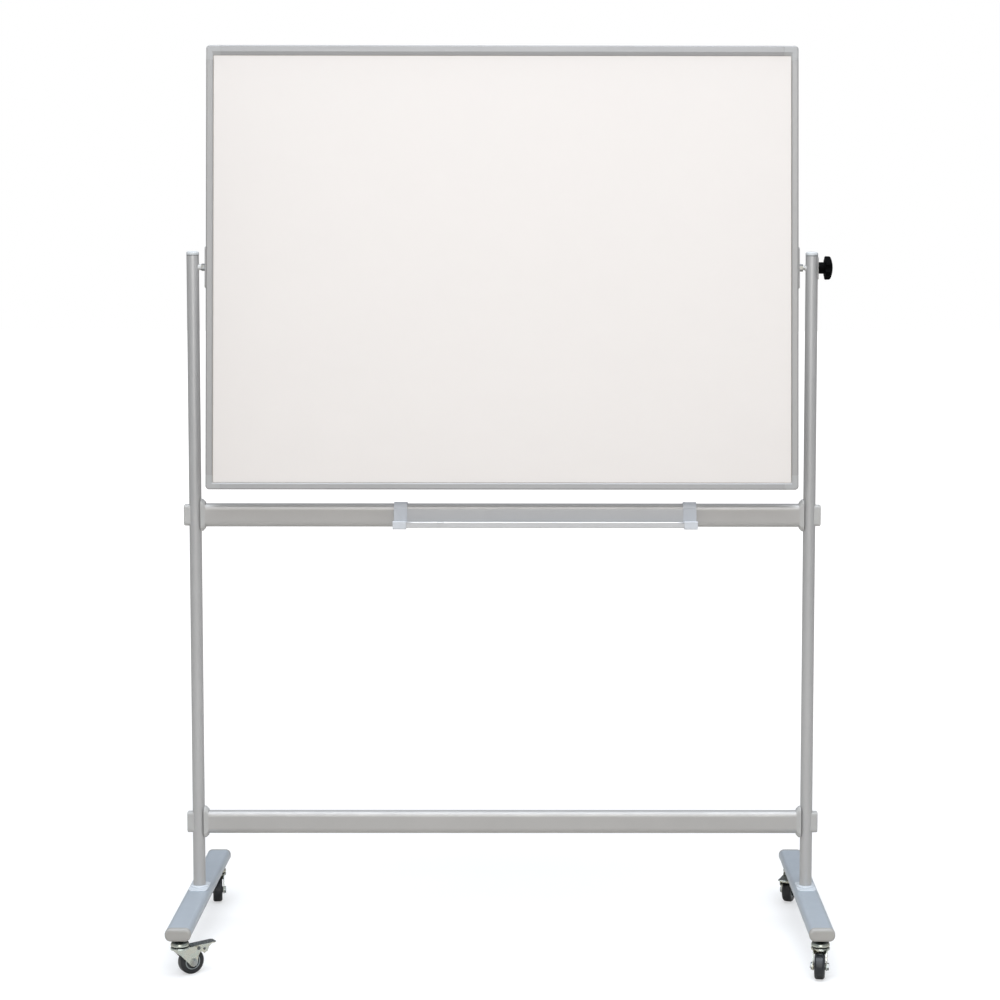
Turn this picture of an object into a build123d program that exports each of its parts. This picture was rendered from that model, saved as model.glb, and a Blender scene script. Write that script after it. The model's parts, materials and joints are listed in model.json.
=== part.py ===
# Rolling whiteboard: a 1200 x 900 double-sided board that flips end over end
# between two round uprights, on two long feet with four swivel casters.
# Frame: +X to the viewer's right, -Y towards the person writing, +Z up,
# floor at Z = 0, origin midway between the uprights. Units are mm.
import math
import os

from build123d import *

os.makedirs("parts", exist_ok=True)

# ---------------------------------------------------------------- driving sizes
UPRIGHT_X = 627.5        # upright centre line, each side of the middle
TUBE_R = 12.5            # upright tube outer radius
TUBE_WALL = 1.5
TUBE_BORE_R = TUBE_R - TUBE_WALL
UPRIGHT_TOP = 1405.0
CAP_TOP = 1414.0

FOOT_LENGTH = 600.0
FOOT_WIDTH = 50.0
FOOT_HEIGHT = 25.0
FOOT_BOTTOM = 76.0
FOOT_TOP = FOOT_BOTTOM + FOOT_HEIGHT
FOOT_MID_Z = FOOT_BOTTOM + FOOT_HEIGHT / 2
FOOT_CORNER = 11.0
FOOT_WALL = 1.6
FOOT_BORE = (FOOT_WIDTH - 2 * FOOT_WALL, FOOT_HEIGHT - 2 * FOOT_WALL, FOOT_CORNER - FOOT_WALL)
FOOT_CAP = 11.0          # visible thickness of the plastic end cap
FOOT_TUBE_END = FOOT_LENGTH / 2 - FOOT_CAP
FOOT_BOLT_R = 4.0

BAR_HEIGHT = 48.0        # flat-oval crossbar
BAR_DEPTH = 25.0
BAR_WALL = 1.5
BAR_BORE = (BAR_HEIGHT - 2 * BAR_WALL, BAR_DEPTH - 2 * BAR_WALL)
BAR_END_X = 606.5
UPPER_BAR_Z = 876.0
LOWER_BAR_Z = 238.5

FLANGE_HEIGHT = 55.0     # the bracket where it meets the crossbar's end
FLARE_LENGTH = 5.5       # over which it grows to its full height
BRACKET_HEIGHT = 66.0
BRACKET_DEPTH = 25.0
BRACKET_WRAP_X = 616.0   # how far the inner saddle reaches round the tube
SPIGOT_LENGTH = 24.0
COVER_X = 650.5          # outer face of the outer saddle
COVER_INNER_X = 633.0
COVER_HEIGHT = 44.0
COVER_DEPTH = 18.0
COVER_RECESS = 3.6       # depth of the pocket for the bolt head
BRACKET_BOLT_R = 3.0
BRACKET_BOLT_BORE_R = 3.2
BRACKET_BOLT_REACH = 20.0    # bolt's length inside the crossbar

PIVOT_Z = 1381.0
BOARD_LEAN = 5.1         # degrees the board rests back from upright, top away
BOARD_W = 1200.0
BOARD_H = 900.0
BOARD_T = 20.0
HALF_T = BOARD_T / 2
BOARD_EDGE_X = BOARD_W / 2
BOARD_BOTTOM = PIVOT_Z - BOARD_H / 2
BOARD_TOP = PIVOT_Z + BOARD_H / 2
SIDE_FACE = 14.5         # width of the side rail's face
TOP_FACE = 20.5
BOTTOM_FACE = 14.0
CORNER_W = 28.5          # corner piece along the top and bottom
CORNER_H = 29.5          # corner piece along the sides
CORNER_R = 7.5
CORNER_GAP = 0.2         # hairline between a corner piece and the rails
RIM_CHAMFER = 2.4        # bevel round the outside of the frame
CORE_T = 13.0
HALF_CORE = CORE_T / 2
CORE_CORNER_R = 10.0
SHEET_T = 0.5
SLOT_BOTTOM = 3.0        # outer wall left behind the panel slot
SHEET_GAP = 0.6          # clearance round the writing sheet
SHEET_R = 1.0

PLATE_T = 2.6            # pivot plate on the board's edge
PLATE_H = 84.0
PLATE_W = 16.0
SCREW_DZ = 28.0          # pivot plate screws above and below the pivot
SCREW_R = 2.0
SCREW_HEAD_R = 3.8
SCREW_HEAD_T = 1.8
PIVOT_R = 4.0            # M8
PIVOT_BORE_R = 4.05
STUD_CLEARANCE_R = 4.3   # right stud's hole through tube wall and washer
BUSH_R = 6.0
BUSH_END_X = 625.0       # outer end of both bushings, inside the tubes

KNOB_R = 24.0
KNOB_HUB_R = 11.8
KNOB_HUB_X0 = 641.4
KNOB_HEAD_X0 = 653.3
KNOB_RIM_X = 665.6
KNOB_CROWN_X = 669.5
KNOB_BORE_END_X = 661.5

TRAY_X0 = -221.0         # outer ends of the two tray clips
TRAY_X1 = 395.5
CLIP_W = 27.0
TRAY_OVERLAP = 24.0      # length of tray held in each clip
TRAY_WALL = 1.5
TRAY_FLOOR_Z = 856.5     # underside of the floor
TRAY_BACK_TOP = 890.0
TRAY_LIP_TOP = 868.0
TRAY_FRONT_Y = -60.0
CLIP_T = 3.0
CLIP_SHELF = 2.4         # clip wall under the tray
CLIP_LIP = 3.5           # and in front of it
CLIP_LINER = 1.5         # inner skin of the clip, over the tray's end
LINER_GAP = 0.15         # between that skin and the tray
CLIP_GAP = 0.15          # sliding clearance on the crossbar
CLIP_END_T = 2.5         # wall closing the clip's outer end
CLIP_IN_R = BAR_DEPTH / 2 + CLIP_GAP
CLIP_OUT_R = CLIP_IN_R + CLIP_T

WHEEL_R = 25.0
WHEEL_T = 20.0
TYRE_BORE_R = 15.5
TRAIL = 23.0             # swivel axis to axle
AXLE_R = 4.0
AXLE_BORE_R = 4.05
LEG_IN = 12.0            # fork leg inner and outer faces from the middle
LEG_OUT = 14.0
CROWN_R = 18.5
CROWN_TOP = 57.0
CAP_BASE = 59.8          # underside of the domed swivel cap
STEM_R = 5.0
STEM_HEX = 8.5           # inscribed radius of the wrench hex and the nut
STEM_HEX_Z = 70.0
SWIVEL_Y = 267.0
PEDAL_PIVOT = (33.5, 51.5)       # along the trail, above the floor
PEDAL_ROOT = PEDAL_PIVOT[0] - 13.0
PEDAL_REACH = 74.0
PEDAL_TOP = 56.2         # top of the plate at its root
PEDAL_RISE = 1.8         # and how much higher it is at the toe
PEDAL_OUT = 11.6         # outer faces of the cheeks from the middle
PEDAL_PLATE_T = 1.6
CHEEK_T = 1.2

SIDES = {"left": -1, "right": 1}
BAR_LEVELS = {"upper": UPPER_BAR_Z, "lower": LOWER_BAR_Z}

# name: (x, y, trail direction in degrees from +X, has a brake)
CASTERS = {
    "front_left": (-UPRIGHT_X, -SWIVEL_Y, 34.0, True),
    "front_right": (UPRIGHT_X, -SWIVEL_Y, 260.5, False),
    "rear_left": (-UPRIGHT_X, SWIVEL_Y, 278.0, False),
    "rear_right": (UPRIGHT_X, SWIVEL_Y, 249.0, True),
}
SWIVELS = [(x, y) for x, y, _, _ in CASTERS.values()]


def save(part, name):
    part.label = name
    export_step(part, f"parts/{name}.step")


def facing_x(x, z, sign):
    """Plane across X, facing sign * X, with its local x along +Y."""
    return Plane((x, 0, z), x_dir=(0, 1, 0), z_dir=(sign, 0, 0))


def upended(x, z, sign):
    """Plane across X, facing sign * X, with its local x along +Z."""
    return Plane((x, 0, z), x_dir=(0, 0, 1), z_dir=(sign, 0, 0))


# ---------------------------------------------------------------- uprights
def make_upright(sign):
    x = sign * UPRIGHT_X
    inside = Plane.YZ.offset(sign * (UPRIGHT_X - TUBE_R - 1))
    with BuildPart() as upright:
        with BuildSketch(Plane.XY.offset(FOOT_TOP)):
            with Locations((x, 0)):
                Circle(TUBE_R)
                Circle(TUBE_BORE_R, mode=Mode.SUBTRACT)
        extrude(amount=UPRIGHT_TOP - FOOT_TOP)
        # threaded plug welded into the bottom of the tube
        with BuildSketch(Plane.XY.offset(FOOT_TOP)):
            with Locations((x, 0)):
                Circle(TUBE_BORE_R)
                Circle(FOOT_BOLT_R, mode=Mode.SUBTRACT)
        extrude(amount=14)
        # hole for the pivot bushing in the inner wall
        with BuildSketch(inside):
            with Locations((0, PIVOT_Z)):
                Circle(BUSH_R)
        extrude(amount=sign * 12, mode=Mode.SUBTRACT)
        # holes for the crossbar bolts, right through both walls
        with BuildSketch(inside):
            with Locations((0, UPPER_BAR_Z), (0, LOWER_BAR_Z)):
                Circle(BRACKET_BOLT_BORE_R)
        extrude(amount=sign * (2 * TUBE_R + 2), mode=Mode.SUBTRACT)
        if sign > 0:
            # the locking stud also leaves through the outer wall
            with BuildSketch(Plane.YZ.offset(UPRIGHT_X)):
                with Locations((0, PIVOT_Z)):
                    Circle(STUD_CLEARANCE_R)
            extrude(amount=TUBE_R + 1, mode=Mode.SUBTRACT)
    return upright.part


def make_upright_caps():
    """Domed plastic plugs closing the tops of the uprights."""
    plug_bottom = UPRIGHT_TOP - 16
    neck_r = TUBE_R - 0.7
    neck_top = UPRIGHT_TOP + 1.2
    brim_r = TUBE_R + 0.3
    brim_top = UPRIGHT_TOP + 4.4
    dome_end = (TUBE_R - 3.7, CAP_TOP - 0.6)
    with BuildPart() as upright_caps:
        for sign in SIDES.values():
            with BuildSketch(Plane((sign * UPRIGHT_X, 0, 0), x_dir=(1, 0, 0), z_dir=(0, -1, 0))):
                with BuildLine():
                    Polyline(
                        (0, plug_bottom), (TUBE_BORE_R - 0.6, plug_bottom),
                        (TUBE_BORE_R, UPRIGHT_TOP - 13), (TUBE_BORE_R, UPRIGHT_TOP),
                        (neck_r, UPRIGHT_TOP), (neck_r, neck_top),
                        (brim_r, neck_top), (brim_r, brim_top),
                    )
                    TangentArc((brim_r, brim_top), dome_end, tangent=(0, 1))
                    Polyline(dome_end, (3.0, CAP_TOP), (0, CAP_TOP))
                    Line((0, CAP_TOP), (0, plug_bottom))
                make_face()
            revolve(axis=Axis((sign * UPRIGHT_X, 0, 0), (0, 0, 1)))
    return upright_caps.part


for side, sign in SIDES.items():
    save(make_upright(sign), f"{side}_upright")
save(make_upright_caps(), "upright_caps")


# ---------------------------------------------------------------- feet
def make_foot(x):
    end = Plane((x, -FOOT_TUBE_END, FOOT_MID_Z), x_dir=(1, 0, 0), z_dir=(0, -1, 0))
    with BuildPart() as foot:
        with BuildSketch(end):
            RectangleRounded(FOOT_WIDTH, FOOT_HEIGHT, FOOT_CORNER)
            RectangleRounded(*FOOT_BORE, mode=Mode.SUBTRACT)
        extrude(amount=-2 * FOOT_TUBE_END)
        # caster stems come up through the bottom wall, the upright's bolt passes both
        with BuildSketch(Plane.XY.offset(FOOT_BOTTOM - 1)):
            with Locations((x, -SWIVEL_Y), (x, SWIVEL_Y)):
                Circle(STEM_R)
        extrude(amount=6, mode=Mode.SUBTRACT)
        with BuildSketch(Plane.XY.offset(FOOT_BOTTOM - 1)):
            with Locations((x, 0)):
                Circle(FOOT_BOLT_R + 0.2)
        extrude(amount=FOOT_HEIGHT + 2, mode=Mode.SUBTRACT)
    return foot.part


def make_foot_end_caps():
    """Rounded plastic end caps with a plug that pushes into the tube."""
    oversize = 0.3       # cap stands proud of the tube all round
    ends = [
        (sign * UPRIGHT_X, end * FOOT_TUBE_END, end)
        for sign in SIDES.values() for end in (-1, 1)
    ]
    with BuildPart() as foot_end_caps:
        for x, y, end in ends:
            with BuildSketch(Plane((x, y, FOOT_MID_Z), x_dir=(1, 0, 0), z_dir=(0, end, 0))):
                RectangleRounded(
                    FOOT_WIDTH + 2 * oversize, FOOT_HEIGHT + 2 * oversize, FOOT_CORNER + oversize)
            extrude(amount=FOOT_CAP)
        outer_edges = foot_end_caps.edges().filter_by(
            lambda edge: abs(abs(edge.center().Y) - FOOT_LENGTH / 2) < 0.01)
        fillet(outer_edges, radius=5.5)
        for x, y, end in ends:
            with BuildSketch(Plane((x, y, FOOT_MID_Z), x_dir=(1, 0, 0), z_dir=(0, -end, 0))):
                RectangleRounded(*FOOT_BORE)
            extrude(amount=11)
    return foot_end_caps.part


def make_foot_collar(x):
    """Moulded saddle plate where an upright stands on its foot."""
    with BuildPart() as collar:
        with BuildSketch(Plane.XY.offset(FOOT_TOP)):
            with Locations((x, 0)):
                RectangleRounded(39, 66, 9)
        extrude(amount=1.6)
        chamfer(collar.faces().sort_by(Axis.Z)[-1].edges(), length=0.7)
        with BuildSketch(Plane.XY.offset(FOOT_TOP)):
            with Locations((x, 0)):
                Circle(TUBE_R + 5.9)
        extrude(amount=5.2)
        fillet(collar.faces().sort_by(Axis.Z)[-1].edges(), radius=3.2)
        with BuildSketch(Plane.XY.offset(FOOT_TOP)):
            with Locations((x, 0)):
                Circle(TUBE_R)
        extrude(amount=8, mode=Mode.SUBTRACT)
    return collar.part


def make_foot_bolts():
    """Bolts from below, through the foot and into the upright's plug."""
    washer_t = 1.6
    head_t = 5.2
    with BuildPart() as foot_bolts:
        for sign in SIDES.values():
            with BuildSketch(Plane.XY.offset(FOOT_BOTTOM)):
                with Locations((sign * UPRIGHT_X, 0)):
                    Circle(FOOT_BOLT_R)
            extrude(amount=FOOT_HEIGHT + 13)
            with BuildSketch(Plane.XY.offset(FOOT_BOTTOM - washer_t)):
                with Locations((sign * UPRIGHT_X, 0)):
                    Circle(9.0)
            extrude(amount=washer_t)
            with BuildSketch(Plane.XY.offset(FOOT_BOTTOM - washer_t - head_t)):
                with Locations((sign * UPRIGHT_X, 0)):
                    RegularPolygon(6.5, 6, major_radius=False)
            extrude(amount=head_t)
    return foot_bolts.part


for side, sign in SIDES.items():
    save(make_foot(sign * UPRIGHT_X), f"{side}_foot")
    save(make_foot_collar(sign * UPRIGHT_X), f"{side}_foot_collar")
save(make_foot_end_caps(), "foot_end_caps")
save(make_foot_bolts(), "foot_bolts")


# ---------------------------------------------------------------- crossbars
def make_crossbar(z):
    with BuildPart() as bar:
        with BuildSketch(upended(-BAR_END_X, z, 1)):
            SlotOverall(BAR_HEIGHT, BAR_DEPTH)
            SlotOverall(*BAR_BORE, mode=Mode.SUBTRACT)
        extrude(amount=2 * BAR_END_X)
    return bar.part


def make_bracket(sign, z):
    """A spigot in the bar's end, flaring to a saddle against the tube."""
    base = upended(sign * BAR_END_X, z, sign)
    with BuildPart() as bracket:
        with BuildSketch(base):
            SlotOverall(FLANGE_HEIGHT, BRACKET_DEPTH)
        with BuildSketch(base.offset(FLARE_LENGTH)):
            SlotOverall(BRACKET_HEIGHT, BRACKET_DEPTH)
        loft(ruled=True)
        with BuildSketch(base.offset(FLARE_LENGTH)):
            SlotOverall(BRACKET_HEIGHT, BRACKET_DEPTH)
        extrude(amount=BRACKET_WRAP_X - BAR_END_X - FLARE_LENGTH)
        with BuildSketch(Plane.XY.offset(z - BRACKET_HEIGHT)):
            with Locations((sign * UPRIGHT_X, 0)):
                Circle(TUBE_R)
        extrude(amount=2 * BRACKET_HEIGHT, mode=Mode.SUBTRACT)
        with BuildSketch(base):
            SlotOverall(*BAR_BORE)
        extrude(amount=-SPIGOT_LENGTH)
        with BuildSketch(base.offset(-SPIGOT_LENGTH - 1)):
            Circle(BRACKET_BOLT_R)
        extrude(amount=45, mode=Mode.SUBTRACT)
    return bracket.part


# bar height and side of each joint between a crossbar and an upright
JOINTS = [(z, sign) for z in BAR_LEVELS.values() for sign in SIDES.values()]


def make_bracket_covers():
    """Outer saddles that clamp the tube against the brackets."""
    with BuildPart() as bracket_covers:
        for z, sign in JOINTS:
            with BuildSketch(upended(sign * COVER_X, z, -sign)):
                RectangleRounded(COVER_HEIGHT, COVER_DEPTH, 7)
            extrude(amount=COVER_X - COVER_INNER_X)
        face_edges = bracket_covers.edges().filter_by(
            lambda edge: abs(abs(edge.center().X) - COVER_X) < 0.01)
        fillet(face_edges, radius=3.0)
        for z, sign in JOINTS:
            with BuildSketch(Plane.XY.offset(z - COVER_HEIGHT)):
                with Locations((sign * UPRIGHT_X, 0)):
                    Circle(TUBE_R)
            extrude(amount=2 * COVER_HEIGHT, mode=Mode.SUBTRACT)
            with BuildSketch(facing_x(sign * (COVER_X + 1), z, -sign)):
                Circle(BRACKET_BOLT_BORE_R)
            extrude(amount=20, mode=Mode.SUBTRACT)
            with BuildSketch(facing_x(sign * (COVER_X + 1), z, -sign)):
                Circle(6.2)
            extrude(amount=COVER_RECESS + 1, mode=Mode.SUBTRACT)
    return bracket_covers.part


def make_bracket_bolts():
    """Socket-head bolts through each cover, the tube and the bracket."""
    seat_x = COVER_X - COVER_RECESS
    with BuildPart() as bracket_bolts:
        for z, sign in JOINTS:
            seat = facing_x(sign * seat_x, z, sign)
            with BuildSketch(seat):
                Circle(BRACKET_BOLT_R)
            extrude(amount=-(seat_x - BAR_END_X + BRACKET_BOLT_REACH))
            with BuildSketch(seat):
                Circle(5.5)
            extrude(amount=3.2)
            with BuildSketch(seat.offset(1.0)):
                RegularPolygon(2.5, 6, major_radius=False)
            extrude(amount=4, mode=Mode.SUBTRACT)
    return bracket_bolts.part


for level, z in BAR_LEVELS.items():
    save(make_crossbar(z), f"{level}_crossbar")
    for side, sign in SIDES.items():
        save(make_bracket(sign, z), f"{level}_{side}_bracket")
save(make_bracket_covers(), "bracket_covers")
save(make_bracket_bolts(), "bracket_bolts")


# ---------------------------------------------------------------- pen tray
def make_pen_tray():
    back_y = -CLIP_OUT_R
    floor_top = TRAY_FLOOR_Z + TRAY_WALL
    relief_w = CLIP_W + 0.5
    start_x = TRAY_X0 + CLIP_W - TRAY_OVERLAP
    with BuildPart() as pen_tray:
        with BuildSketch(facing_x(start_x, 0, 1)):
            with BuildLine():
                Polyline(
                    (back_y, TRAY_BACK_TOP), (back_y, TRAY_FLOOR_Z),
                    (TRAY_FRONT_Y, TRAY_FLOOR_Z), (TRAY_FRONT_Y, TRAY_LIP_TOP),
                    (TRAY_FRONT_Y + TRAY_WALL, TRAY_LIP_TOP),
                    (TRAY_FRONT_Y + TRAY_WALL, floor_top), (back_y - TRAY_WALL, floor_top),
                    (back_y - TRAY_WALL, TRAY_BACK_TOP), (back_y, TRAY_BACK_TOP),
                )
            make_face()
        extrude(amount=TRAY_X1 - TRAY_X0 - 2 * CLIP_W + 2 * TRAY_OVERLAP)
        outer_bends = pen_tray.edges().filter_by(Axis.X).filter_by(
            lambda edge: abs(edge.center().Z - TRAY_FLOOR_Z) < 0.01)
        fillet(outer_bends, radius=2.4)
        inner_bends = pen_tray.edges().filter_by(Axis.X).filter_by(
            lambda edge: abs(edge.center().Z - floor_top) < 0.01)
        fillet(inner_bends, radius=1.0)
        # the floor is relieved a little under the clips' inner skins
        for x in (TRAY_X0, TRAY_X1 - relief_w):
            with BuildSketch(Plane.XY.offset(floor_top - 0.3)):
                with Locations((x + relief_w / 2, (TRAY_FRONT_Y + back_y) / 2)):
                    Rectangle(relief_w, back_y - TRAY_FRONT_Y - 2 * TRAY_WALL - 2.0)
            extrude(amount=2.0, mode=Mode.SUBTRACT)
    return pen_tray.part


def make_tray_clip(x, end_x):
    """Clip from x: hooks over the crossbar, runs down its front and cradles the
    tray's end; end_x is where the wall closing its outer end starts."""
    arc_z = UPPER_BAR_Z + (BAR_HEIGHT - BAR_DEPTH) / 2
    hook_z = arc_z - 9
    shelf_z = TRAY_FLOOR_Z - CLIP_SHELF
    lip_y = TRAY_FRONT_Y - CLIP_LIP
    lip_top = TRAY_LIP_TOP + 2.2
    # faces of the inner skin towards the tray
    front = TRAY_FRONT_Y + TRAY_WALL + LINER_GAP
    back = -(CLIP_OUT_R + TRAY_WALL + LINER_GAP)
    floor = TRAY_FLOOR_Z + TRAY_WALL + LINER_GAP
    with BuildPart() as clip:
        with BuildSketch(facing_x(x, 0, 1)):
            # strap down the front, round the top and a short way down the back
            with BuildLine():
                Line((-CLIP_IN_R, TRAY_FLOOR_Z), (-CLIP_IN_R, arc_z))
                ThreePointArc((-CLIP_IN_R, arc_z), (0, arc_z + CLIP_IN_R), (CLIP_IN_R, arc_z))
                Line((CLIP_IN_R, arc_z), (CLIP_IN_R, hook_z))
                Line((CLIP_IN_R, hook_z), (CLIP_OUT_R, hook_z))
                Line((CLIP_OUT_R, hook_z), (CLIP_OUT_R, arc_z))
                ThreePointArc(
                    (CLIP_OUT_R, arc_z), (0, arc_z + CLIP_OUT_R - 0.2), (-CLIP_OUT_R, arc_z))
                Line((-CLIP_OUT_R, arc_z), (-CLIP_OUT_R, TRAY_FLOOR_Z))
                Line((-CLIP_OUT_R, TRAY_FLOOR_Z), (-CLIP_IN_R, TRAY_FLOOR_Z))
            make_face()
            # shelf under the tray and the lip in front of it
            with BuildLine():
                Polyline(
                    (-CLIP_IN_R, TRAY_FLOOR_Z), (-CLIP_IN_R, shelf_z),
                    (lip_y + 1.6, shelf_z), (lip_y, shelf_z + 1.6),
                    (lip_y, lip_top - 1.0), (lip_y + 0.9, lip_top),
                    (TRAY_FRONT_Y, lip_top), (TRAY_FRONT_Y, TRAY_FLOOR_Z),
                    (-CLIP_IN_R, TRAY_FLOOR_Z),
                )
            make_face()
            # inner skin: over the tray's lip, along its floor and up its back wall
            with BuildLine():
                Polyline(
                    (TRAY_FRONT_Y - 0.5, TRAY_LIP_TOP + LINER_GAP), (TRAY_FRONT_Y - 0.5, lip_top),
                    (front + 0.8, lip_top), (front + CLIP_LINER, lip_top - 0.8),
                    (front + CLIP_LINER, floor + CLIP_LINER),
                    (back - CLIP_LINER, floor + CLIP_LINER),
                    (back - CLIP_LINER, TRAY_BACK_TOP + 1.2), (back - 0.8, TRAY_BACK_TOP + 2.0),
                    (-CLIP_OUT_R + 2.2, TRAY_BACK_TOP + 2.0),
                    (-CLIP_OUT_R + 2.2, TRAY_BACK_TOP + LINER_GAP),
                    (back, TRAY_BACK_TOP + LINER_GAP), (back, floor + 1.4), (back - 1.4, floor),
                    (front + 1.3, floor), (front, floor + 1.4), (front, TRAY_LIP_TOP + LINER_GAP),
                    (TRAY_FRONT_Y - 0.5, TRAY_LIP_TOP + LINER_GAP),
                )
            make_face()
        extrude(amount=CLIP_W)
        # closed outer end of the trough
        with BuildSketch(facing_x(end_x, 0, 1)):
            with BuildLine():
                Polyline(
                    (-CLIP_OUT_R, TRAY_FLOOR_Z - 1), (TRAY_FRONT_Y - 1.0, TRAY_FLOOR_Z - 1),
                    (TRAY_FRONT_Y - 1.0, TRAY_LIP_TOP + 1.0),
                    (TRAY_FRONT_Y + 4.0, TRAY_LIP_TOP + 1.0),
                    (TRAY_FRONT_Y + 9.0, TRAY_FLOOR_Z + 4.5), (-CLIP_OUT_R, TRAY_FLOOR_Z + 4.5),
                    (-CLIP_OUT_R, TRAY_FLOOR_Z - 1),
                )
            make_face()
        extrude(amount=CLIP_END_T)
    return clip.part


save(make_pen_tray(), "pen_tray")
save(make_tray_clip(TRAY_X0, TRAY_X0), "left_tray_clip")
save(make_tray_clip(TRAY_X1 - CLIP_W, TRAY_X1 - CLIP_END_T), "right_tray_clip")

# ---------------------------------------------------------------- board
# Everything that turns with the board is drawn for an upright board and placed
# on planes that lean back with it about the pivots' axis.
LEAN = (
    Location((0, 0, PIVOT_Z))
    * Location((0, 0, 0), (-BOARD_LEAN, 0, 0))
    * Location((0, 0, -PIVOT_Z))
)


def on_board(plane):
    """The plane given for an upright board, leaned back with the board."""
    return Plane(LEAN * plane.location)


BOARD_FACE = on_board(Plane((0, 0, PIVOT_Z), x_dir=(1, 0, 0), z_dir=(0, -1, 0)))
BOARD_NORMAL = Axis(BOARD_FACE.origin, BOARD_FACE.z_dir)


def rail_outline(face, flat, lip):
    """Closed outline of a frame rail: inward distance, then depth."""
    return [
        (0, RIM_CHAMFER - HALF_T), (RIM_CHAMFER, -HALF_T), (flat, -HALF_T),
        (face, -lip), (face, -HALF_CORE),
        (SLOT_BOTTOM, -HALF_CORE), (SLOT_BOTTOM, HALF_CORE), (face, HALF_CORE),
        (face, lip), (flat, HALF_T), (RIM_CHAMFER, HALF_T),
        (0, HALF_T - RIM_CHAMFER), (0, RIM_CHAMFER - HALF_T),
    ]


SIDE_OUTLINE = rail_outline(SIDE_FACE, flat=11.5, lip=8.4)
TOP_OUTLINE = rail_outline(TOP_FACE, flat=13.0, lip=7.5)
BOTTOM_OUTLINE = rail_outline(BOTTOM_FACE, flat=11.2, lip=8.4)


def make_side_rail(sign):
    foot = (sign * BOARD_EDGE_X, 0, BOARD_BOTTOM + CORNER_H)
    with BuildPart() as rail:
        with BuildSketch(on_board(Plane(foot, x_dir=(-sign, 0, 0), z_dir=(0, 0, 1)))):
            with BuildLine():
                Polyline(*SIDE_OUTLINE)
            make_face()
        extrude(amount=BOARD_H - 2 * CORNER_H)
        with BuildSketch(on_board(facing_x(sign * (BOARD_EDGE_X + 1), PIVOT_Z, -sign))):
            Circle(PIVOT_R)
            with Locations((0, SCREW_DZ), (0, -SCREW_DZ)):
                Circle(SCREW_R)
        extrude(amount=5, mode=Mode.SUBTRACT)
    return rail.part


def make_level_rail(z, inward, outline):
    """Top or bottom rail with its outer edge at z; inward is its sign along Z."""
    start = (-BOARD_EDGE_X + CORNER_W, 0, z)
    with BuildPart() as rail:
        with BuildSketch(on_board(Plane(start, x_dir=(0, 0, inward), z_dir=(1, 0, 0)))):
            with BuildLine():
                Polyline(*outline)
            make_face()
        extrude(amount=BOARD_W - 2 * CORNER_W)
    return rail.part


def make_frame_envelope():
    """Outside shape of the whole frame: small corner radius, face rims bevelled."""
    with BuildPart() as frame_envelope:
        with BuildSketch(BOARD_FACE.offset(-HALF_T)):
            RectangleRounded(BOARD_W, BOARD_H, CORNER_R)
        extrude(amount=BOARD_T)
        chamfer(frame_envelope.faces().filter_by(BOARD_NORMAL).edges(), length=RIM_CHAMFER)
    return frame_envelope.part


def make_frame_corners():
    """Corner pieces joining the rails: two short legs with the rails' own
    sections, trimmed to the frame's outside shape."""
    envelope = make_frame_envelope()
    with BuildPart() as frame_corners:
        for sign in SIDES.values():
            for up, outline in ((-1, BOTTOM_OUTLINE), (1, TOP_OUTLINE)):
                tip = (sign * BOARD_EDGE_X, 0, PIVOT_Z + up * BOARD_H / 2)
                with BuildSketch(on_board(Plane(tip, x_dir=(0, 0, -up), z_dir=(-sign, 0, 0)))):
                    with BuildLine():
                        Polyline(*outline)
                    make_face()
                extrude(amount=CORNER_W - CORNER_GAP)
                with BuildSketch(on_board(Plane(tip, x_dir=(-sign, 0, 0), z_dir=(0, 0, -up)))):
                    with BuildLine():
                        Polyline(*SIDE_OUTLINE)
                    make_face()
                extrude(amount=CORNER_H - CORNER_GAP)
        add(envelope, mode=Mode.INTERSECT)
    return frame_corners.part


def make_board_core():
    with BuildPart() as board_core:
        with BuildSketch(BOARD_FACE.offset(-HALF_CORE)):
            RectangleRounded(BOARD_W - 2 * SLOT_BOTTOM, BOARD_H - 2 * SLOT_BOTTOM, CORE_CORNER_R)
        extrude(amount=CORE_T)
        for sign in SIDES.values():
            # pockets for the pivot bolt heads and bores for the plate screws
            edge = on_board(facing_x(sign * (BOARD_EDGE_X - SLOT_BOTTOM + 1), PIVOT_Z, -sign))
            with BuildSketch(edge):
                Rectangle(13.4, 16.0)
            extrude(amount=8, mode=Mode.SUBTRACT)
            with BuildSketch(edge):
                with Locations((0, SCREW_DZ), (0, -SCREW_DZ)):
                    Circle(SCREW_R)
            extrude(amount=14, mode=Mode.SUBTRACT)
    return board_core.part


def make_writing_sheet(out):
    """Enamelled steel sheet on the core's face towards out * Y."""
    width = BOARD_W - 2 * SIDE_FACE - 2 * SHEET_GAP
    height = BOARD_H - TOP_FACE - BOTTOM_FACE - 2 * SHEET_GAP
    mid_z = (BOARD_BOTTOM + BOTTOM_FACE + BOARD_TOP - TOP_FACE) / 2
    seat = Plane((0, out * HALF_CORE, mid_z), x_dir=(1, 0, 0), z_dir=(0, out, 0))
    with BuildPart() as sheet:
        with BuildSketch(on_board(seat)):
            RectangleRounded(width, height, SHEET_R)
        extrude(amount=SHEET_T)
    return sheet.part


for side, sign in SIDES.items():
    save(make_side_rail(sign), f"{side}_rail")
save(make_level_rail(BOARD_TOP, -1, TOP_OUTLINE), "top_rail")
save(make_level_rail(BOARD_BOTTOM, 1, BOTTOM_OUTLINE), "bottom_rail")
save(make_frame_corners(), "frame_corners")
save(make_board_core(), "board_core")
save(make_writing_sheet(-1), "front_writing_sheet")
save(make_writing_sheet(1), "back_writing_sheet")


# ---------------------------------------------------------------- pivots
def screw_seat(sign, dz):
    """Plane on the pivot plate's outer face at a screw, facing into the board."""
    return on_board(facing_x(sign * (BOARD_EDGE_X + PLATE_T), PIVOT_Z + dz, -sign))


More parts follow.
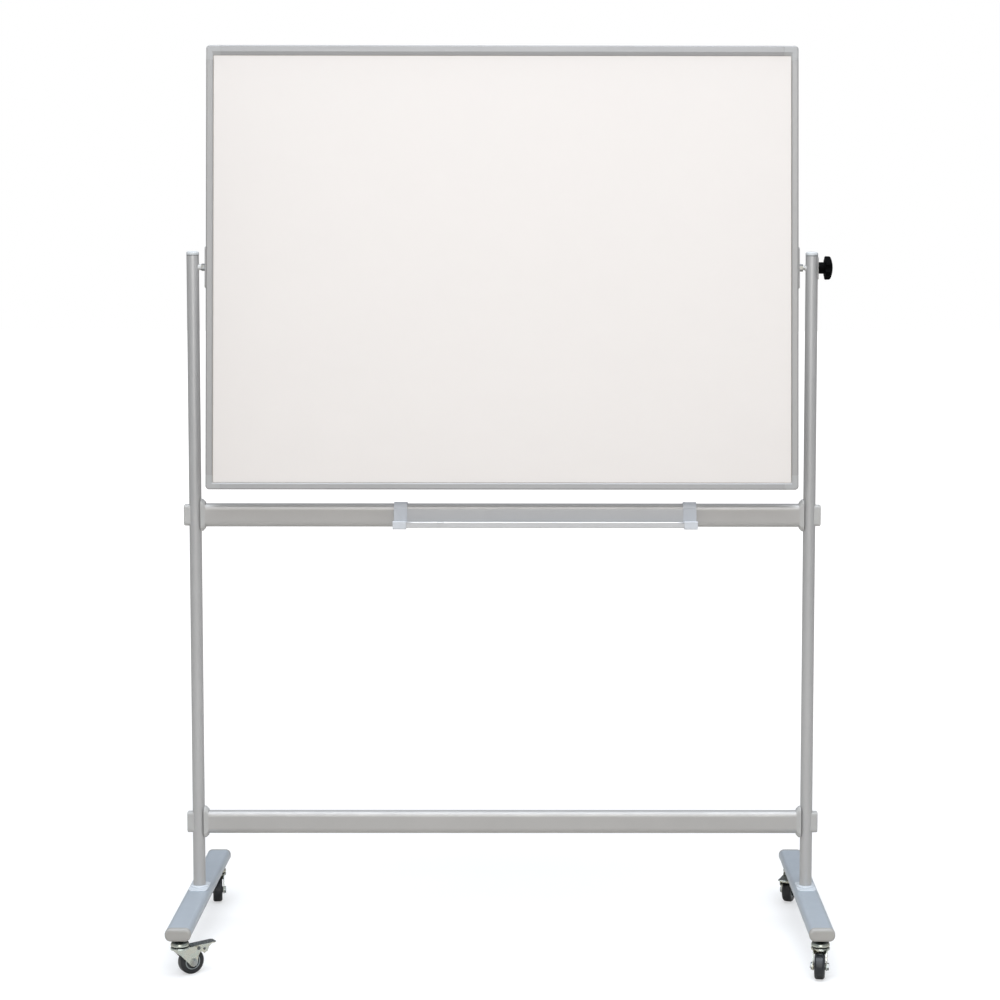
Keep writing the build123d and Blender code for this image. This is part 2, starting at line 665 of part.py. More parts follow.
def slot_plane(sign):
    """Outward plane at the pivot, on the bottom of the side rail's slot."""
    return on_board(facing_x(sign * (BOARD_EDGE_X - SLOT_BOTTOM), PIVOT_Z, sign))


def make_pivot_plate(sign):
    edge = on_board(facing_x(sign * BOARD_EDGE_X, PIVOT_Z, sign))
    with BuildPart() as pivot_plate:
        with BuildSketch(edge):
            RectangleRounded(PLATE_W, PLATE_H, 5)
        extrude(amount=PLATE_T)
        rim = pivot_plate.faces().sort_by(Axis.X)[-1 if sign > 0 else 0].edges()
        chamfer(rim, length=1.2)
        with BuildSketch(edge):
            Circle(PIVOT_R)
            with Locations((0, SCREW_DZ), (0, -SCREW_DZ)):
                Circle(SCREW_R)
        extrude(amount=PLATE_T, mode=Mode.SUBTRACT)
        for dz in (SCREW_DZ, -SCREW_DZ):
            with BuildSketch(screw_seat(sign, dz)):
                Circle(SCREW_HEAD_R)
            extrude(amount=SCREW_HEAD_T, taper=45, mode=Mode.SUBTRACT)
    return pivot_plate.part


def make_pivot_plate_screws():
    """Countersunk cross-head screws."""
    with BuildPart() as pivot_plate_screws:
        for sign in SIDES.values():
            for dz in (SCREW_DZ, -SCREW_DZ):
                seat = screw_seat(sign, dz)
                with BuildSketch(seat):
                    Circle(SCREW_HEAD_R)
                extrude(amount=SCREW_HEAD_T, taper=45)
                with BuildSketch(seat.offset(1.0)):
                    Circle(SCREW_R)
                extrude(amount=PLATE_T + 12)
                with BuildSketch(seat):
                    Rectangle(3.4, 0.8)
                    Rectangle(0.8, 3.4)
                extrude(amount=1.0, mode=Mode.SUBTRACT)
    return pivot_plate_screws.part


def make_pivot_pin(sign, end_x):
    """Hex-headed pin from behind the side rail's wall out to end_x."""
    base = slot_plane(sign)
    with BuildPart() as pivot_pin:
        with BuildSketch(base):
            RegularPolygon(6.3, 6, major_radius=False, rotation=30)
        extrude(amount=-5.0)
        with BuildSketch(base):
            Circle(PIVOT_R)
        extrude(amount=end_x - BOARD_EDGE_X + SLOT_BOTTOM)
        tip = pivot_pin.faces().sort_by(Axis.X)[-1 if sign > 0 else 0].edges()
        chamfer(tip, length=0.8)
    return pivot_pin.part


def make_pivot_nuts():
    with BuildPart() as pivot_nuts:
        for sign in SIDES.values():
            with BuildSketch(slot_plane(sign).offset(SLOT_BOTTOM + PLATE_T)):
                RegularPolygon(6.5, 6, major_radius=False, rotation=30)
                Circle(PIVOT_R, mode=Mode.SUBTRACT)
            extrude(amount=7.0)
    return pivot_nuts.part


def make_pivot_bushings():
    """Nylon bushings in the uprights' inner walls; the left has the longer nose."""
    with BuildPart() as pivot_bushings:
        for sign, nose_x in ((-1, 610.0), (1, 613.4)):
            with BuildSketch(facing_x(sign * nose_x, PIVOT_Z, sign)):
                Circle(BUSH_R)
                Circle(PIVOT_BORE_R, mode=Mode.SUBTRACT)
            extrude(amount=BUSH_END_X - nose_x)
    return pivot_bushings.part


def make_knob_saddle_washer():
    """Washer between the knob's hub and the round of the right upright."""
    with BuildPart() as washer:
        with BuildSketch(facing_x(KNOB_HUB_X0 - 0.2, PIVOT_Z, -1)):
            RectangleRounded(12, 46, 4)
        extrude(amount=5.2)
        chamfer(washer.faces().sort_by(Axis.X)[-1].edges(), length=0.5)
        with BuildSketch(Plane.XY.offset(PIVOT_Z - 30)):
            with Locations((UPRIGHT_X, 0)):
                Circle(TUBE_R)
        extrude(amount=60, mode=Mode.SUBTRACT)
        with BuildSketch(facing_x(643, PIVOT_Z, -1)):
            Circle(STUD_CLEARANCE_R)
        extrude(amount=8, mode=Mode.SUBTRACT)
    return washer.part


def make_lock_knob():
    """Lobed locking knob, screwed on the right stud."""
    crown_start = (KNOB_RIM_X - 0.3, KNOB_R - 2.6)
    with BuildPart() as lock_knob:
        with BuildSketch(Plane((0, 0, PIVOT_Z), x_dir=(1, 0, 0), z_dir=(0, -1, 0))):
            with BuildLine():
                Polyline(
                    (KNOB_HUB_X0, 0), (KNOB_HUB_X0, KNOB_HUB_R), (KNOB_HEAD_X0, KNOB_HUB_R),
                    (KNOB_HEAD_X0, KNOB_R - 1.5), (KNOB_HEAD_X0 + 1.5, KNOB_R),
                    (KNOB_RIM_X - 2.5, KNOB_R - 0.4), crown_start,
                )
                ThreePointArc(crown_start, (KNOB_CROWN_X - 0.9, 11), (KNOB_CROWN_X, 0))
                Line((KNOB_CROWN_X, 0), (KNOB_HUB_X0, 0))
            make_face()
        revolve(axis=Axis((0, 0, PIVOT_Z), (1, 0, 0)))
        # finger scallops between the six lobes
        with BuildSketch(facing_x(KNOB_HEAD_X0, PIVOT_Z, 1)):
            with PolarLocations(31.5, 6):
                Circle(11.2)
        extrude(amount=20, mode=Mode.SUBTRACT)
        with BuildSketch(facing_x(KNOB_HUB_X0, PIVOT_Z, 1)):
            Circle(PIVOT_BORE_R)
        extrude(amount=KNOB_BORE_END_X - KNOB_HUB_X0, mode=Mode.SUBTRACT)
    return lock_knob.part


for side, sign in SIDES.items():
    save(make_pivot_plate(sign), f"{side}_pivot_plate")
save(make_pivot_plate_screws(), "pivot_plate_screws")
save(make_pivot_pin(-1, end_x=628.0), "left_pivot_bolt")
save(make_pivot_pin(1, end_x=661.0), "right_pivot_stud")
save(make_pivot_nuts(), "pivot_nuts")
save(make_pivot_bushings(), "pivot_bushings")
save(make_knob_saddle_washer(), "knob_saddle_washer")
save(make_lock_knob(), "lock_knob")

# ---------------------------------------------------------------- casters
# Side outlines: along the trail from the swivel axis, height above the floor.
BRAKED_LEG = [
    (-11.4, 56.5), (-14.0, 53.0), (-11.5, 50.0), (16.3, 19.8), (31.4, 26.0),
    (32.2, 35.3), (37.5, 44.4), (39.0, 49.0), (38.0, 53.5), (34.0, 55.2),
    (25.0, 55.6), (12.0, 56.5), (-11.4, 56.5),
]
PLAIN_LEG = [
    (-11.4, 56.5), (-14.0, 53.0), (-11.5, 50.0), (16.3, 19.8), (31.4, 26.0),
    (29.5, 38.0), (24.5, 48.5), (19.0, 54.0), (12.0, 56.5), (-11.4, 56.5),
]
FORK_WEB = [
    (-12.6, 56.0), (-12.6, 53.0), (-11.0, 49.8), (-2.6, 40.6), (-1.2, 41.6),
    (-9.6, 50.6), (-11.1, 53.6), (-11.1, 56.0), (-12.6, 56.0),
]
PEDAL_CHEEK = [
    (24.5, PEDAL_TOP - 0.7), (28.0, 50.5), (31.0, 47.2), (36.0, 46.5), (38.5, 43.6),
    (43.9, 41.9), (47.0, 38.4), (50.0, 41.0), (53.5, 41.4), (56.8, 50.9),
    (66.0, PEDAL_TOP + 1.4), (24.5, PEDAL_TOP - 0.7),
]
# Section of the hub: distance along the axle from the middle, radius.
HUB_SECTION = [
    (-11.8, AXLE_BORE_R), (-11.8, 6.2), (-11.2, 6.8), (-4.2, 7.4), (-4.2, 12.6),
    (-8.8, 13.4), (-8.8, TYRE_BORE_R), (8.8, TYRE_BORE_R), (8.8, 13.4),
    (4.2, 12.6), (4.2, 7.4), (11.2, 6.8), (11.8, 6.2), (11.8, AXLE_BORE_R),
    (-11.8, AXLE_BORE_R),
]


def make_caster_stems():
    """Threaded stems with a wrench hex, a domed cap over the swivel and a
    kingpin riveted under the fork's crown."""
    with BuildPart() as caster_stems:
        for x, y in SWIVELS:
            with BuildSketch(Plane((x, y, 0), x_dir=(1, 0, 0), z_dir=(0, -1, 0))):
                with BuildLine():
                    Polyline(
                        (0, 51.6), (6.2, 51.6), (7.0, 52.4), (7.0, 54.9), (4.0, 54.9),
                        (4.0, CAP_BASE), (18.1, CAP_BASE), (18.4, CAP_BASE + 0.5), (18.3, 62.4),
                    )
                    ThreePointArc((18.3, 62.4), (15.7, 67.2), (8.0, 69.4))
                    Polyline(
                        (8.0, 69.4), (8.0, 72.0), (STEM_R, 72.0), (STEM_R, 94.0),
                        (STEM_R - 0.8, 95.0), (0, 95.0), (0, 51.6),
                    )
                make_face()
            revolve(axis=Axis((x, y, 0), (0, 0, 1)))
            with BuildSketch(Plane((x, y, STEM_HEX_Z))):
                RegularPolygon(STEM_HEX, 6, major_radius=False)
            extrude(amount=FOOT_BOTTOM - STEM_HEX_Z)
    return caster_stems.part


def make_caster_stem_nuts():
    """Nuts on the stems, inside the feet."""
    with BuildPart() as caster_stem_nuts:
        for x, y in SWIVELS:
            with BuildSketch(Plane((x, y, FOOT_BOTTOM + FOOT_WALL))):
                RegularPolygon(STEM_HEX, 6, major_radius=False)
                Circle(STEM_R, mode=Mode.SUBTRACT)
            extrude(amount=8.0)
    return caster_stem_nuts.part


def make_swivel_seals():
    """Dark dust rings between each cap and the fork."""
    seal_z = CROWN_TOP + 0.2
    with BuildPart() as swivel_seals:
        for x, y in SWIVELS:
            with BuildSketch(Plane((x, y, seal_z))):
                Circle(17.2)
                Circle(12.0, mode=Mode.SUBTRACT)
            extrude(amount=CAP_BASE - seal_z)
    return swivel_seals.part


def make_fork(side_view, swivel, braked):
    web_half = LEG_IN + 0.5      # the web runs a little into both legs
    with BuildPart() as fork:
        # pressed crown turning under the cap
        with BuildSketch(side_view):
            with BuildLine():
                Polyline(
                    (AXLE_BORE_R, 55.0), (15.3, 55.0), (16.5, 54.0), (16.5, 52.5),
                    (CROWN_R, 52.5), (CROWN_R, 55.4), (17.9, 56.4), (16.5, CROWN_TOP),
                    (AXLE_BORE_R, CROWN_TOP), (AXLE_BORE_R, 55.0),
                )
            make_face()
        revolve(axis=swivel)
        for start in (LEG_IN, -LEG_OUT):
            with BuildSketch(side_view.offset(start)):
                with BuildLine():
                    Polyline(*(BRAKED_LEG if braked else PLAIN_LEG))
                make_face()
                with Locations((TRAIL, WHEEL_R)):
                    Circle(8.6)
                    Circle(AXLE_R, mode=Mode.SUBTRACT)
                if braked:
                    with Locations(PEDAL_PIVOT):
                        Circle(2.0, mode=Mode.SUBTRACT)
            extrude(amount=LEG_OUT - LEG_IN)
        # web folded across the legs' leading edges
        with BuildSketch(side_view.offset(-web_half)):
            with BuildLine():
                Polyline(*FORK_WEB)
            make_face()
        extrude(amount=2 * web_half)
    return fork.part


def make_axle(side_view):
    """Axle with a hex at each end, outside the fork's legs."""
    with BuildPart() as axle:
        with BuildSketch(side_view.offset(-LEG_OUT)):
            with Locations((TRAIL, WHEEL_R)):
                Circle(AXLE_R)
        extrude(amount=2 * LEG_OUT + 4.9)
        for start, thickness in ((-LEG_OUT, -3.9), (LEG_OUT, 3.5)):
            with BuildSketch(side_view.offset(start)):
                with Locations((TRAIL, WHEEL_R)):
                    RegularPolygon(6.5, 6, major_radius=False)
            extrude(amount=thickness)
    return axle.part


def make_tyre(wheel_section, axle_line):
    half = WHEEL_T / 2
    wall_r = TYRE_BORE_R + 2.0       # the flat side wall runs from here
    shoulder_r = WHEEL_R - 4.6       # to here
    tread_x = half - 4.6
    tread_r = WHEEL_R - 0.1
    bend = (half - 1.5, WHEEL_R - 1.4)
    with BuildPart() as tyre:
        with BuildSketch(wheel_section):
            with BuildLine():
                Line((-half + 1.0, TYRE_BORE_R), (-half, wall_r))
                Line((-half, wall_r), (-half, shoulder_r))
                ThreePointArc((-half, shoulder_r), (-bend[0], bend[1]), (-tread_x, tread_r))
                ThreePointArc((-tread_x, tread_r), (0, WHEEL_R), (tread_x, tread_r))
                ThreePointArc((tread_x, tread_r), bend, (half, shoulder_r))
                Line((half, shoulder_r), (half, wall_r))
                Line((half, wall_r), (half - 1.0, TYRE_BORE_R))
                Line((half - 1.0, TYRE_BORE_R), (-half + 1.0, TYRE_BORE_R))
            make_face()
        revolve(axis=axle_line)
    return tyre.part


def make_hub(wheel_section, axle_line):
    with BuildPart() as hub:
        with BuildSketch(wheel_section):
            with BuildLine():
                Polyline(*HUB_SECTION)
            make_face()
        revolve(axis=axle_line)
    return hub.part


def make_brake_pedal(side_view, plan_view):
    toe_top = PEDAL_TOP + PEDAL_RISE
    toe = PEDAL_REACH + 0.6
    bar_half = PEDAL_OUT - 0.6
    with BuildPart() as pedal:
        # tread plate, rising to its toe and rounded off at the toe's corners
        with BuildSketch(side_view.offset(-PEDAL_OUT)):
            with BuildLine():
                Polyline(
                    (PEDAL_ROOT, PEDAL_TOP - PEDAL_PLATE_T), (PEDAL_REACH, toe_top - PEDAL_PLATE_T),
                    (toe, toe_top - PEDAL_PLATE_T / 2), (PEDAL_REACH, toe_top),
                    (PEDAL_ROOT, PEDAL_TOP), (PEDAL_ROOT, PEDAL_TOP - PEDAL_PLATE_T),
                )
            make_face()
        extrude(amount=2 * PEDAL_OUT)
        with BuildSketch(plan_view.offset(PEDAL_TOP - 20)):
            with BuildLine():
                Polyline(
                    (PEDAL_ROOT - 1, -PEDAL_OUT), (PEDAL_REACH - 4, -PEDAL_OUT),
                    (PEDAL_REACH - 1, -PEDAL_OUT + 2.2), (toe, -PEDAL_OUT + 5.5),
                    (toe, PEDAL_OUT - 5.5), (PEDAL_REACH - 1, PEDAL_OUT - 2.2),
                    (PEDAL_REACH - 4, PEDAL_OUT), (PEDAL_ROOT - 1, PEDAL_OUT),
                    (PEDAL_ROOT - 1, -PEDAL_OUT),
                )
            make_face()
        extrude(amount=40, mode=Mode.INTERSECT)
        # cheeks either side of the wheel
        for start in (PEDAL_OUT - CHEEK_T, -PEDAL_OUT):
            with BuildSketch(side_view.offset(start)):
                with BuildLine():
                    Polyline(*PEDAL_CHEEK)
                make_face()
                with Locations(PEDAL_PIVOT):
                    Circle(2.05, mode=Mode.SUBTRACT)
            extrude(amount=CHEEK_T)
        # bar that bears on the tyre's tread when the pedal is down
        with BuildSketch(side_view.offset(-bar_half)):
            with Locations((47.0, 48.0)):
                Circle(2.25)
        extrude(amount=2 * bar_half)
    return pedal.part


def make_pedal_pin(side_view):
    """Pin across both legs with a flat round head at each end."""
    head_r = 3.4
    head_t = 0.9
    with BuildPart() as pedal_pin:
        for start, radius, length in (
            (-LEG_OUT - head_t, head_r, head_t),
            (-LEG_OUT, 2.0, 2 * LEG_OUT),
            (LEG_OUT, head_r, head_t),
        ):
            with BuildSketch(side_view.offset(start)):
                with Locations(PEDAL_PIVOT):
                    Circle(radius)
            extrude(amount=length)
    return pedal_pin.part


save(make_caster_stems(), "caster_stems")
save(make_caster_stem_nuts(), "caster_stem_nuts")
save(make_swivel_seals(), "swivel_seals")

for name, (x, y, trail_angle, braked) in CASTERS.items():
    angle = math.radians(trail_angle)
    trail_x, trail_y = math.cos(angle), math.sin(angle)
    # side view: x along the trail, y up; its normal runs along the axle
    side_view = Plane((x, y, 0), x_dir=(trail_x, trail_y, 0), z_dir=(trail_y, -trail_x, 0))
    plan_view = Plane((x, y, 0), x_dir=(trail_x, trail_y, 0), z_dir=(0, 0, 1))
    swivel = Axis((x, y, 0), (0, 0, 1))
    wheel_centre = (x + TRAIL * trail_x, y + TRAIL * trail_y, WHEEL_R)
    axle_line = Axis(wheel_centre, side_view.z_dir)
    # section through the wheel: x along the axle, y up from the axle's height
    wheel_section = Plane(wheel_centre, x_dir=side_view.z_dir, z_dir=(-trail_x, -trail_y, 0))

    save(make_fork(side_view, swivel, braked), f"{name}_fork")
    save(make_axle(side_view), f"{name}_axle")
    save(make_tyre(wheel_section, axle_line), f"{name}_tyre")
    save(make_hub(wheel_section, axle_line), f"{name}_hub")
    if braked:
        save(make_brake_pedal(side_view, plan_view), f"{name}_brake_pedal")
        save(make_pedal_pin(side_view), f"{name}_pedal_pin")
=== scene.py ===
"""Wheeled writing board on a tubular stand, in satin grey, white enamel and zinc.

Metres, +Z up, floor at Z = 0. The board runs along X with left at -X, and its
front faces -Y, towards the camera. Each of the two feet carries two swivel casters.
"""
import json
import math

import bmesh
import bpy
from mathutils import Matrix, Vector


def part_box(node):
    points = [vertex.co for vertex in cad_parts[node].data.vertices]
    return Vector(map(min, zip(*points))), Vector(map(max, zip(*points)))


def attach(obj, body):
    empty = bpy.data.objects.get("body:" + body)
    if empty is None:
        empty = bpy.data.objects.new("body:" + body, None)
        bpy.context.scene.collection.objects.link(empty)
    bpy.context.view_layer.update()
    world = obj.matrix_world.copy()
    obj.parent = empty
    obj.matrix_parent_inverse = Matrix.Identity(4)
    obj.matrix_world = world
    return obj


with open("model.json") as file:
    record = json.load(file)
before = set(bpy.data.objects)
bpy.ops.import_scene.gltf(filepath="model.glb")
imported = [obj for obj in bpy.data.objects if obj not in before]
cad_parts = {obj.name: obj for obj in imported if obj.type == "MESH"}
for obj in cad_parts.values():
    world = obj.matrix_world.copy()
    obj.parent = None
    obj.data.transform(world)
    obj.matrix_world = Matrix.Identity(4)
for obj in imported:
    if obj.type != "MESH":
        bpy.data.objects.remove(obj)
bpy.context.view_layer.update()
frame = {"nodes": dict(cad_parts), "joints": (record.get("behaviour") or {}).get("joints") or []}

nodes = frame["nodes"]
scene = bpy.context.scene

CASTERS = ("front_left", "front_right", "rear_left", "rear_right")
BRAKED_CASTERS = ("front_left", "rear_right")
SIDES = (("a", 1), ("b", -1))  # name suffix, direction along the wheel axis

UNIT_SPAN = (0.0, 1.0)
NOISE_SPAN = (0.3, 0.7)  # where most noise values lie
WHITE = (1, 1, 1)

# ------------------------------------------------------------------ node helpers


def tint(colour, gain, lift=0.0):
    return tuple(min(1.0, c * gain + lift) for c in colour)


class Tree:
    """Short names for building a node tree from empty."""

    def __init__(self, node_tree):
        self.tree = node_tree
        self.tree.nodes.clear()

    def new(self, kind, **props):
        node = self.tree.nodes.new(kind)
        for key, value in props.items():
            setattr(node, key, value)
        return node

    def link(self, source, target):
        self.tree.links.new(source, target)

    def feed(self, socket, value):
        """Link a socket, or set a number or an RGB colour."""
        if isinstance(value, bpy.types.NodeSocket):
            self.link(value, socket)
        elif isinstance(value, tuple):
            socket.default_value = (*value, 1)
        else:
            socket.default_value = value

    def split(self, vector):
        node = self.new("ShaderNodeSeparateXYZ")
        self.link(vector, node.inputs[0])
        return node.outputs

    def ramp(self, value, stops):
        """Colour ramp; stops are (position, RGB)."""
        node = self.new("ShaderNodeValToRGB")
        points = node.color_ramp.elements
        points.remove(points[-1])
        points[0].position, points[0].color = stops[0][0], (*stops[0][1], 1)
        for position, colour in stops[1:]:
            points.new(position).color = (*colour, 1)
        self.link(value, node.inputs[0])
        return node.outputs[0]

    def fit(self, value, to=UNIT_SPAN, over=NOISE_SPAN, shape="LINEAR"):
        """Map the span `over` of a value onto the span `to`."""
        node = self.new("ShaderNodeMapRange", interpolation_type=shape)
        self.link(value, node.inputs["Value"])
        node.inputs["From Min"].default_value, node.inputs["From Max"].default_value = over
        node.inputs["To Min"].default_value, node.inputs["To Max"].default_value = to
        return node.outputs[0]

    def math(self, operation, first, second):
        node = self.new("ShaderNodeMath", operation=operation)
        self.feed(node.inputs[0], first)
        self.feed(node.inputs[1], second)
        return node.outputs[0]

    def mix_shaders(self, factor, first, second):
        node = self.new("ShaderNodeMixShader")
        for socket, source in zip(node.inputs, (factor, first, second)):
            self.link(source, socket)
        return node.outputs[0]


class Material(Tree):
    """A material with a Principled shader, textured in object space."""

    INPUTS = {
        "color": "Base Color", "rough": "Roughness", "metal": "Metallic",
        "normal": "Normal", "spec": "Specular IOR Level", "coat": "Coat Weight",
        "coat_rough": "Coat Roughness",
    }

    def __init__(self, name):
        self.mat = bpy.data.materials.new(name)
        self.mat.use_nodes = True
        super().__init__(self.mat.node_tree)
        self.out = self.new("ShaderNodeOutputMaterial")
        self.bsdf = self.new("ShaderNodeBsdfPrincipled")
        self.link(self.bsdf.outputs[0], self.out.inputs[0])
        self.coord = self.new("ShaderNodeTexCoord").outputs["Object"]

    def set(self, **values):
        for key, value in values.items():
            self.feed(self.bsdf.inputs[self.INPUTS[key]], value)
        return self.mat

    def mapping(self, scale, rot=(0, 0, 0)):
        node = self.new("ShaderNodeMapping")
        self.link(self.coord, node.inputs["Vector"])
        node.inputs["Scale"].default_value = scale
        node.inputs["Rotation"].default_value = rot
        return node.outputs[0]

    def noise(self, scale=1.0, detail=2, rough=0.5, vector=None, distortion=0.0):
        node = self.new("ShaderNodeTexNoise")
        self.link(vector if vector is not None else self.coord, node.inputs["Vector"])
        node.inputs["Scale"].default_value = scale
        node.inputs["Detail"].default_value = detail
        node.inputs["Roughness"].default_value = rough
        node.inputs["Distortion"].default_value = distortion
        return node.outputs["Fac"]

    def mix(self, factor, first, second):
        node = self.new("ShaderNodeMix", data_type="RGBA", blend_type="MIX")
        self.feed(node.inputs["Factor"], factor)
        self.feed(node.inputs[6], first)
        self.feed(node.inputs[7], second)
        return node.outputs[2]

    def shade(self, colour, wobble, scale):
        """A base colour that drifts a little over the surface."""
        drift = self.noise(scale=scale, detail=4, rough=0.6)
        return self.ramp(drift, [(0.3, tint(colour, 1 - wobble)), (0.7, tint(colour, 1 + wobble))])

    def bevel(self, radius):
        node = self.new("ShaderNodeBevel", samples=4)
        node.inputs["Radius"].default_value = radius
        return node.outputs[0]

    def wear_edges(self, base, worn, radius, full, amount):
        """Blend `worn` in along sharp edges; `full` is the bend where the blend peaks."""
        geometry = self.new("ShaderNodeNewGeometry")
        dot = self.new("ShaderNodeVectorMath", operation="DOT_PRODUCT")
        self.link(self.bevel(radius), dot.inputs[0])
        self.link(geometry.outputs["Normal"], dot.inputs[1])
        bend = self.math("SUBTRACT", 1.0, dot.outputs["Value"])
        edge = self.fit(bend, over=(0.03, full))
        return self.mix(self.math("MULTIPLY", edge, amount), base, worn)

    def bump(self, height, strength, distance, normal=None):
        node = self.new("ShaderNodeBump")
        node.inputs["Strength"].default_value = strength
        node.inputs["Distance"].default_value = distance
        self.link(height, node.inputs["Height"])
        if normal is not None:
            self.link(normal, node.inputs["Normal"])
        return node.outputs[0]


# ------------------------------------------------------------------ materials


def powder_coat(name, colour, rough=0.36, peel=0.15, coat=0.12, rub=0.0008):
    """Satin powder coat: orange peel, fine metallic speckle, edges rubbed over radius `rub`."""
    m = Material(name)
    base = m.shade(colour, wobble=0.03, scale=6)
    speck = m.noise(scale=2600)
    base = m.mix(m.fit(speck, to=(0.0, 0.22), over=(0.45, 0.75)), base, tint(colour, gain=1.28))
    if rub:
        base = m.wear_edges(base, tint(colour, gain=1.35), radius=rub, full=0.35, amount=0.35)
    smudge = m.noise(scale=28, detail=5, rough=0.65)
    orange_peel = m.noise(scale=900)
    return m.set(
        color=base, metal=0.35, rough=m.fit(smudge, to=(rough - 0.05, rough + 0.07)),
        coat=coat, coat_rough=0.25,
        normal=m.bump(orange_peel, strength=peel, distance=0.00006),
    )


def extrusion(name, colour, along, rough=0.42):
    """Satin anodised extrusion with fine draw lines running along axis number `along`."""
    m = Material(name)
    stretch = [1400.0, 1400.0, 1400.0]
    stretch[along] = 6.0
    lines = m.noise(detail=3, rough=0.6, vector=m.mapping(scale=stretch))
    base = m.shade(colour, wobble=0.025, scale=5)
    base = m.mix(m.fit(lines, to=(0.0, 0.16), over=(0.35, 0.7)), base, tint(colour, gain=0.82))
    base = m.wear_edges(base, tint(colour, gain=1.3), radius=0.0006, full=0.3, amount=0.3)
    return m.set(
        color=base, metal=0.25, rough=m.fit(lines, to=(rough - 0.06, rough + 0.1)),
        normal=m.bump(lines, strength=0.12, distance=0.00005, normal=m.bevel(0.0005)),
    )


def moulded(name, colour, rough=0.46, spec=0.5):
    """Moulded plastic: fine spark-eroded grain, soft sheen, paler scuffed edges."""
    m = Material(name)
    base = m.shade(colour, wobble=0.035, scale=9)
    scuffed = tint(colour, gain=1.3, lift=0.01)
    base = m.wear_edges(base, scuffed, radius=0.0006, full=0.4, amount=0.3)
    grain = m.noise(scale=3400)
    smudge = m.noise(scale=35, detail=4, rough=0.6)
    return m.set(
        color=base, rough=m.fit(smudge, to=(rough - 0.05, rough + 0.06)), spec=spec,
        normal=m.bump(grain, strength=0.3, distance=0.00008, normal=m.bevel(0.0005)),
    )


# clouding of the zinc: ramp position, gain on each of R, G, B
ZINC_CLOUDS = [
    (0.28, (1.04, 0.99, 0.84)),
    (0.48, (1.0, 1.0, 1.0)),
    (0.62, (0.90, 0.98, 1.02)),
    (0.76, (1.02, 1.04, 0.93)),
]


def zinc(name, colour, rough=0.24, shade_heights=None, top_shade_colour=None):
    """Passivated zinc plate, faintly clouded.

    shade_heights: heights between which the surface darkens upwards, painted shade under the foot
    top_shade_colour: colour painted on the faces that look up, a painted dark reflection
    """
    m = Material(name)
    cloud = m.noise(scale=55, detail=4, rough=0.6, distortion=0.6)
    base = m.ramp(cloud, [
        (position, tuple(c * gain for c, gain in zip(colour, gains)))
        for position, gains in ZINC_CLOUDS
    ])
    base = m.wear_edges(base, tint(colour, gain=1.35), radius=0.0005, full=0.3, amount=0.35)
    # painted shade: the zinc turns near black towards the top, where the foot's shadow falls
    if shade_heights:
        height = m.split(m.coord)["Z"]
        base = m.mix(m.fit(height, to=(0.0, 0.88), over=shade_heights), base, (0.03, 0.031, 0.026))
    # painted reflection: faces that look up are turned dark slate, as if reflecting dark
    # surroundings
    if top_shade_colour:
        normal = m.new("ShaderNodeNewGeometry").outputs["Normal"]
        facing_up = m.fit(m.split(normal)["Z"], over=(0.80, 0.88))
        worn = m.math("MULTIPLY", facing_up, m.fit(cloud, to=(0.85, 1.0)))
        base = m.mix(worn, base, top_shade_colour)
    grain = m.noise(scale=700, detail=4, rough=0.6)
    return m.set(
        color=base, metal=1.0, rough=m.fit(grain, to=(rough - 0.06, rough + 0.12)),
        normal=m.bump(grain, strength=0.10, distance=0.00008, normal=m.bevel(0.0004)),
    )


def enamel(name, colour):
    """Glossy white writing enamel, with a trace of wiped marker haze."""
    m = Material(name)
    haze = m.noise(scale=3.2, detail=5, rough=0.55, distortion=0.4)
    base = m.ramp(haze, [(0.3, tint(colour, gain=0.992)), (0.7, colour)])
    wipes = m.mapping(scale=(14, 60, 90), rot=(0, 0.5, 0))
    swirl = m.noise(detail=4, rough=0.6, vector=wipes)
    wave = m.noise(scale=5.0, rough=0.4)
    return m.set(
        color=base, rough=m.fit(swirl, to=(0.16, 0.26)), spec=0.5, coat=0.35, coat_rough=0.08,
        normal=m.bump(wave, strength=0.05, distance=0.0004),
    )


def fibre(name, colour):
    """Fibreboard with short matted strands."""
    m = Material(name)
    strands = m.noise(detail=6, rough=0.7, vector=m.mapping(scale=(160, 900, 160)))
    base = m.ramp(strands, [(0.3, tint(colour, gain=0.7)), (0.7, tint(colour, gain=1.25))])
    return m.set(color=base, rough=0.85, normal=m.bump(strands, strength=0.4, distance=0.0004))


def rubber(name, colour, rough, coat=0.0):
    """Smooth dark rubber with fine flow marks and a little dust in the grain."""
    m = Material(name)
    base = m.shade(colour, wobble=0.16, scale=60)
    dust = m.noise(scale=240, detail=5, rough=0.7)
    base = m.mix(m.fit(dust, to=(0.0, 0.10), over=(0.55, 0.8)), base, (0.06, 0.062, 0.065))
    grain = m.noise(scale=1500, detail=3, rough=0.6)
    return m.set(
        color=base, rough=m.fit(dust, to=(rough - 0.06, rough + 0.1)),
        coat=coat, coat_rough=0.3,
        normal=m.bump(grain, strength=0.25, distance=0.00008, normal=m.bevel(0.0006)),
    )


def dress(mat, *names):
    """Put a material on every slot of the named parts."""
    for name in names:
        part = nodes[name]
        if not part.material_slots:
            part.data.materials.append(mat)
        for slot in part.material_slots:
            slot.link = "OBJECT"
            slot.material = mat


